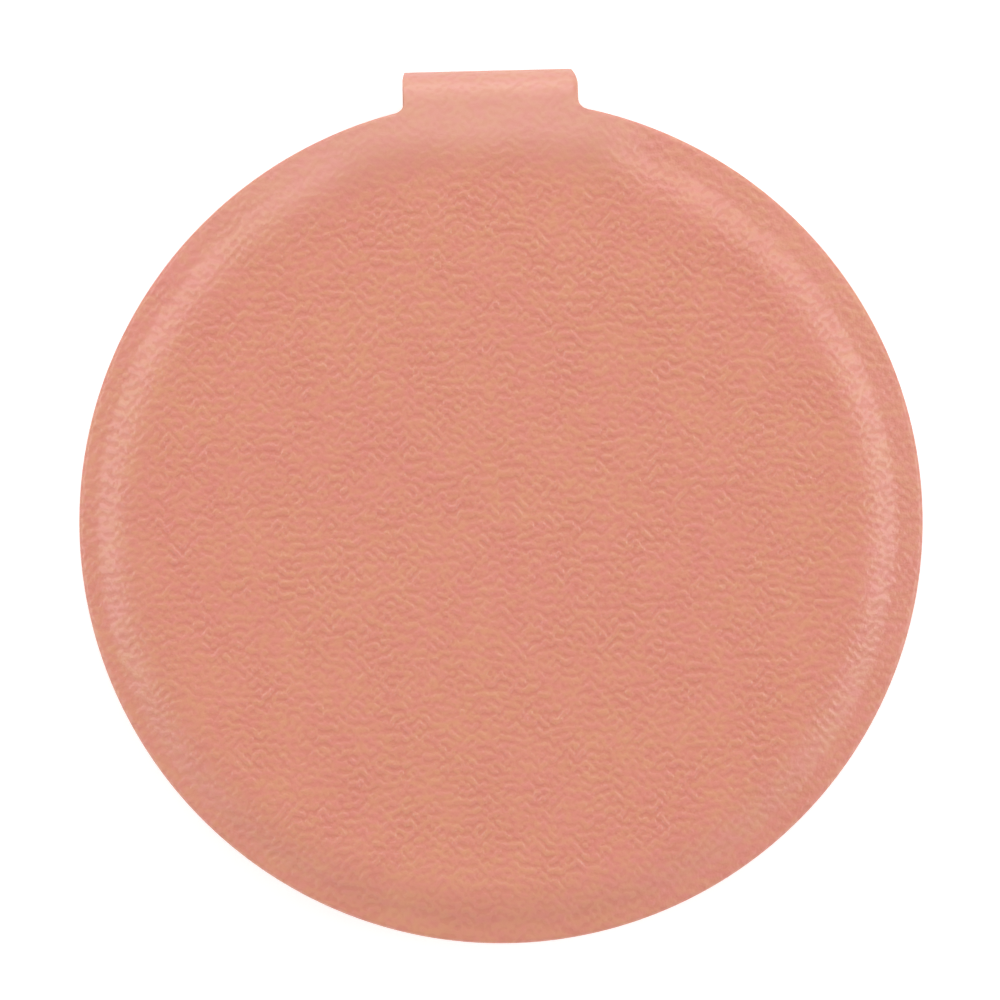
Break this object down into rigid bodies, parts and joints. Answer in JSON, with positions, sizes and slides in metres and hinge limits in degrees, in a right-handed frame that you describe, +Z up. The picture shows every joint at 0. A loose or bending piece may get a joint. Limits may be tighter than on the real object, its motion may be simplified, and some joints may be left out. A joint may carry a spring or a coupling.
{
  "type": "compact mirror",
  "caption": "Round folding compact mirror: padded leather leaves with a flat and a magnifying mirror, joined by a leather fold hinge and held shut by magnets.",
  "frame": {"origin": "middle of the flat underside of the closed compact, on the surface that it lies on", "axes": "+Z up from the surface through both leaves, +Y towards the leather hinge, +X to the right with the hinge away from the viewer"},
  "size_m": [0.07, 0.0725, 0.0094],
  "materials": {
    "outer_leather": "soft pink-tan grained leather, satin",
    "lining_leather": "smooth pink-tan leather, matt",
    "foam": "fine-celled white foam",
    "greyboard": "pressed grey board",
    "tape": "double-sided tape",
    "mirror_glass": "silvered glass",
    "magnet": "nickel-plated magnet"
  },
  "bodies": {
    "base": {"base_cover": "outer_leather", "base_foam_pad": "foam", "base_board": "greyboard", "base_mirror_tape": "tape", "base_mirror": "mirror_glass", "base_frame_ring": "greyboard", "base_lining": "lining_leather", "base_magnet": "magnet"},
    "hinge": {"hinge_strap": "outer_leather", "hinge_lining": "lining_leather"},
    "lid": {"lid_cover": "outer_leather", "lid_foam_pad": "foam", "lid_board": "greyboard", "lid_mirror_tape": "tape", "lid_mirror": "mirror_glass", "lid_frame_ring": "greyboard", "lid_lining": "lining_leather", "lid_magnet": "magnet"}
  },
  "joints": [
    {"name": "base_fold", "type": "hinge", "parent": "base", "child": "hinge", "pos_m": [0, 0.03677, 0.00166], "axis": [-1, 0, 0], "range_deg": [0, 90], "deforming": ["hinge_strap", "hinge_lining"]},
    {"name": "lid_fold", "type": "hinge", "parent": "hinge", "child": "lid", "pos_m": [0, 0.03677, 0.00774], "axis": [-1, 0, 0], "range_deg": [0, 90]}
  ],
  "couplings": [
    {"joint": "lid_fold", "follows": "base_fold", "ratio": 1}
  ]
}
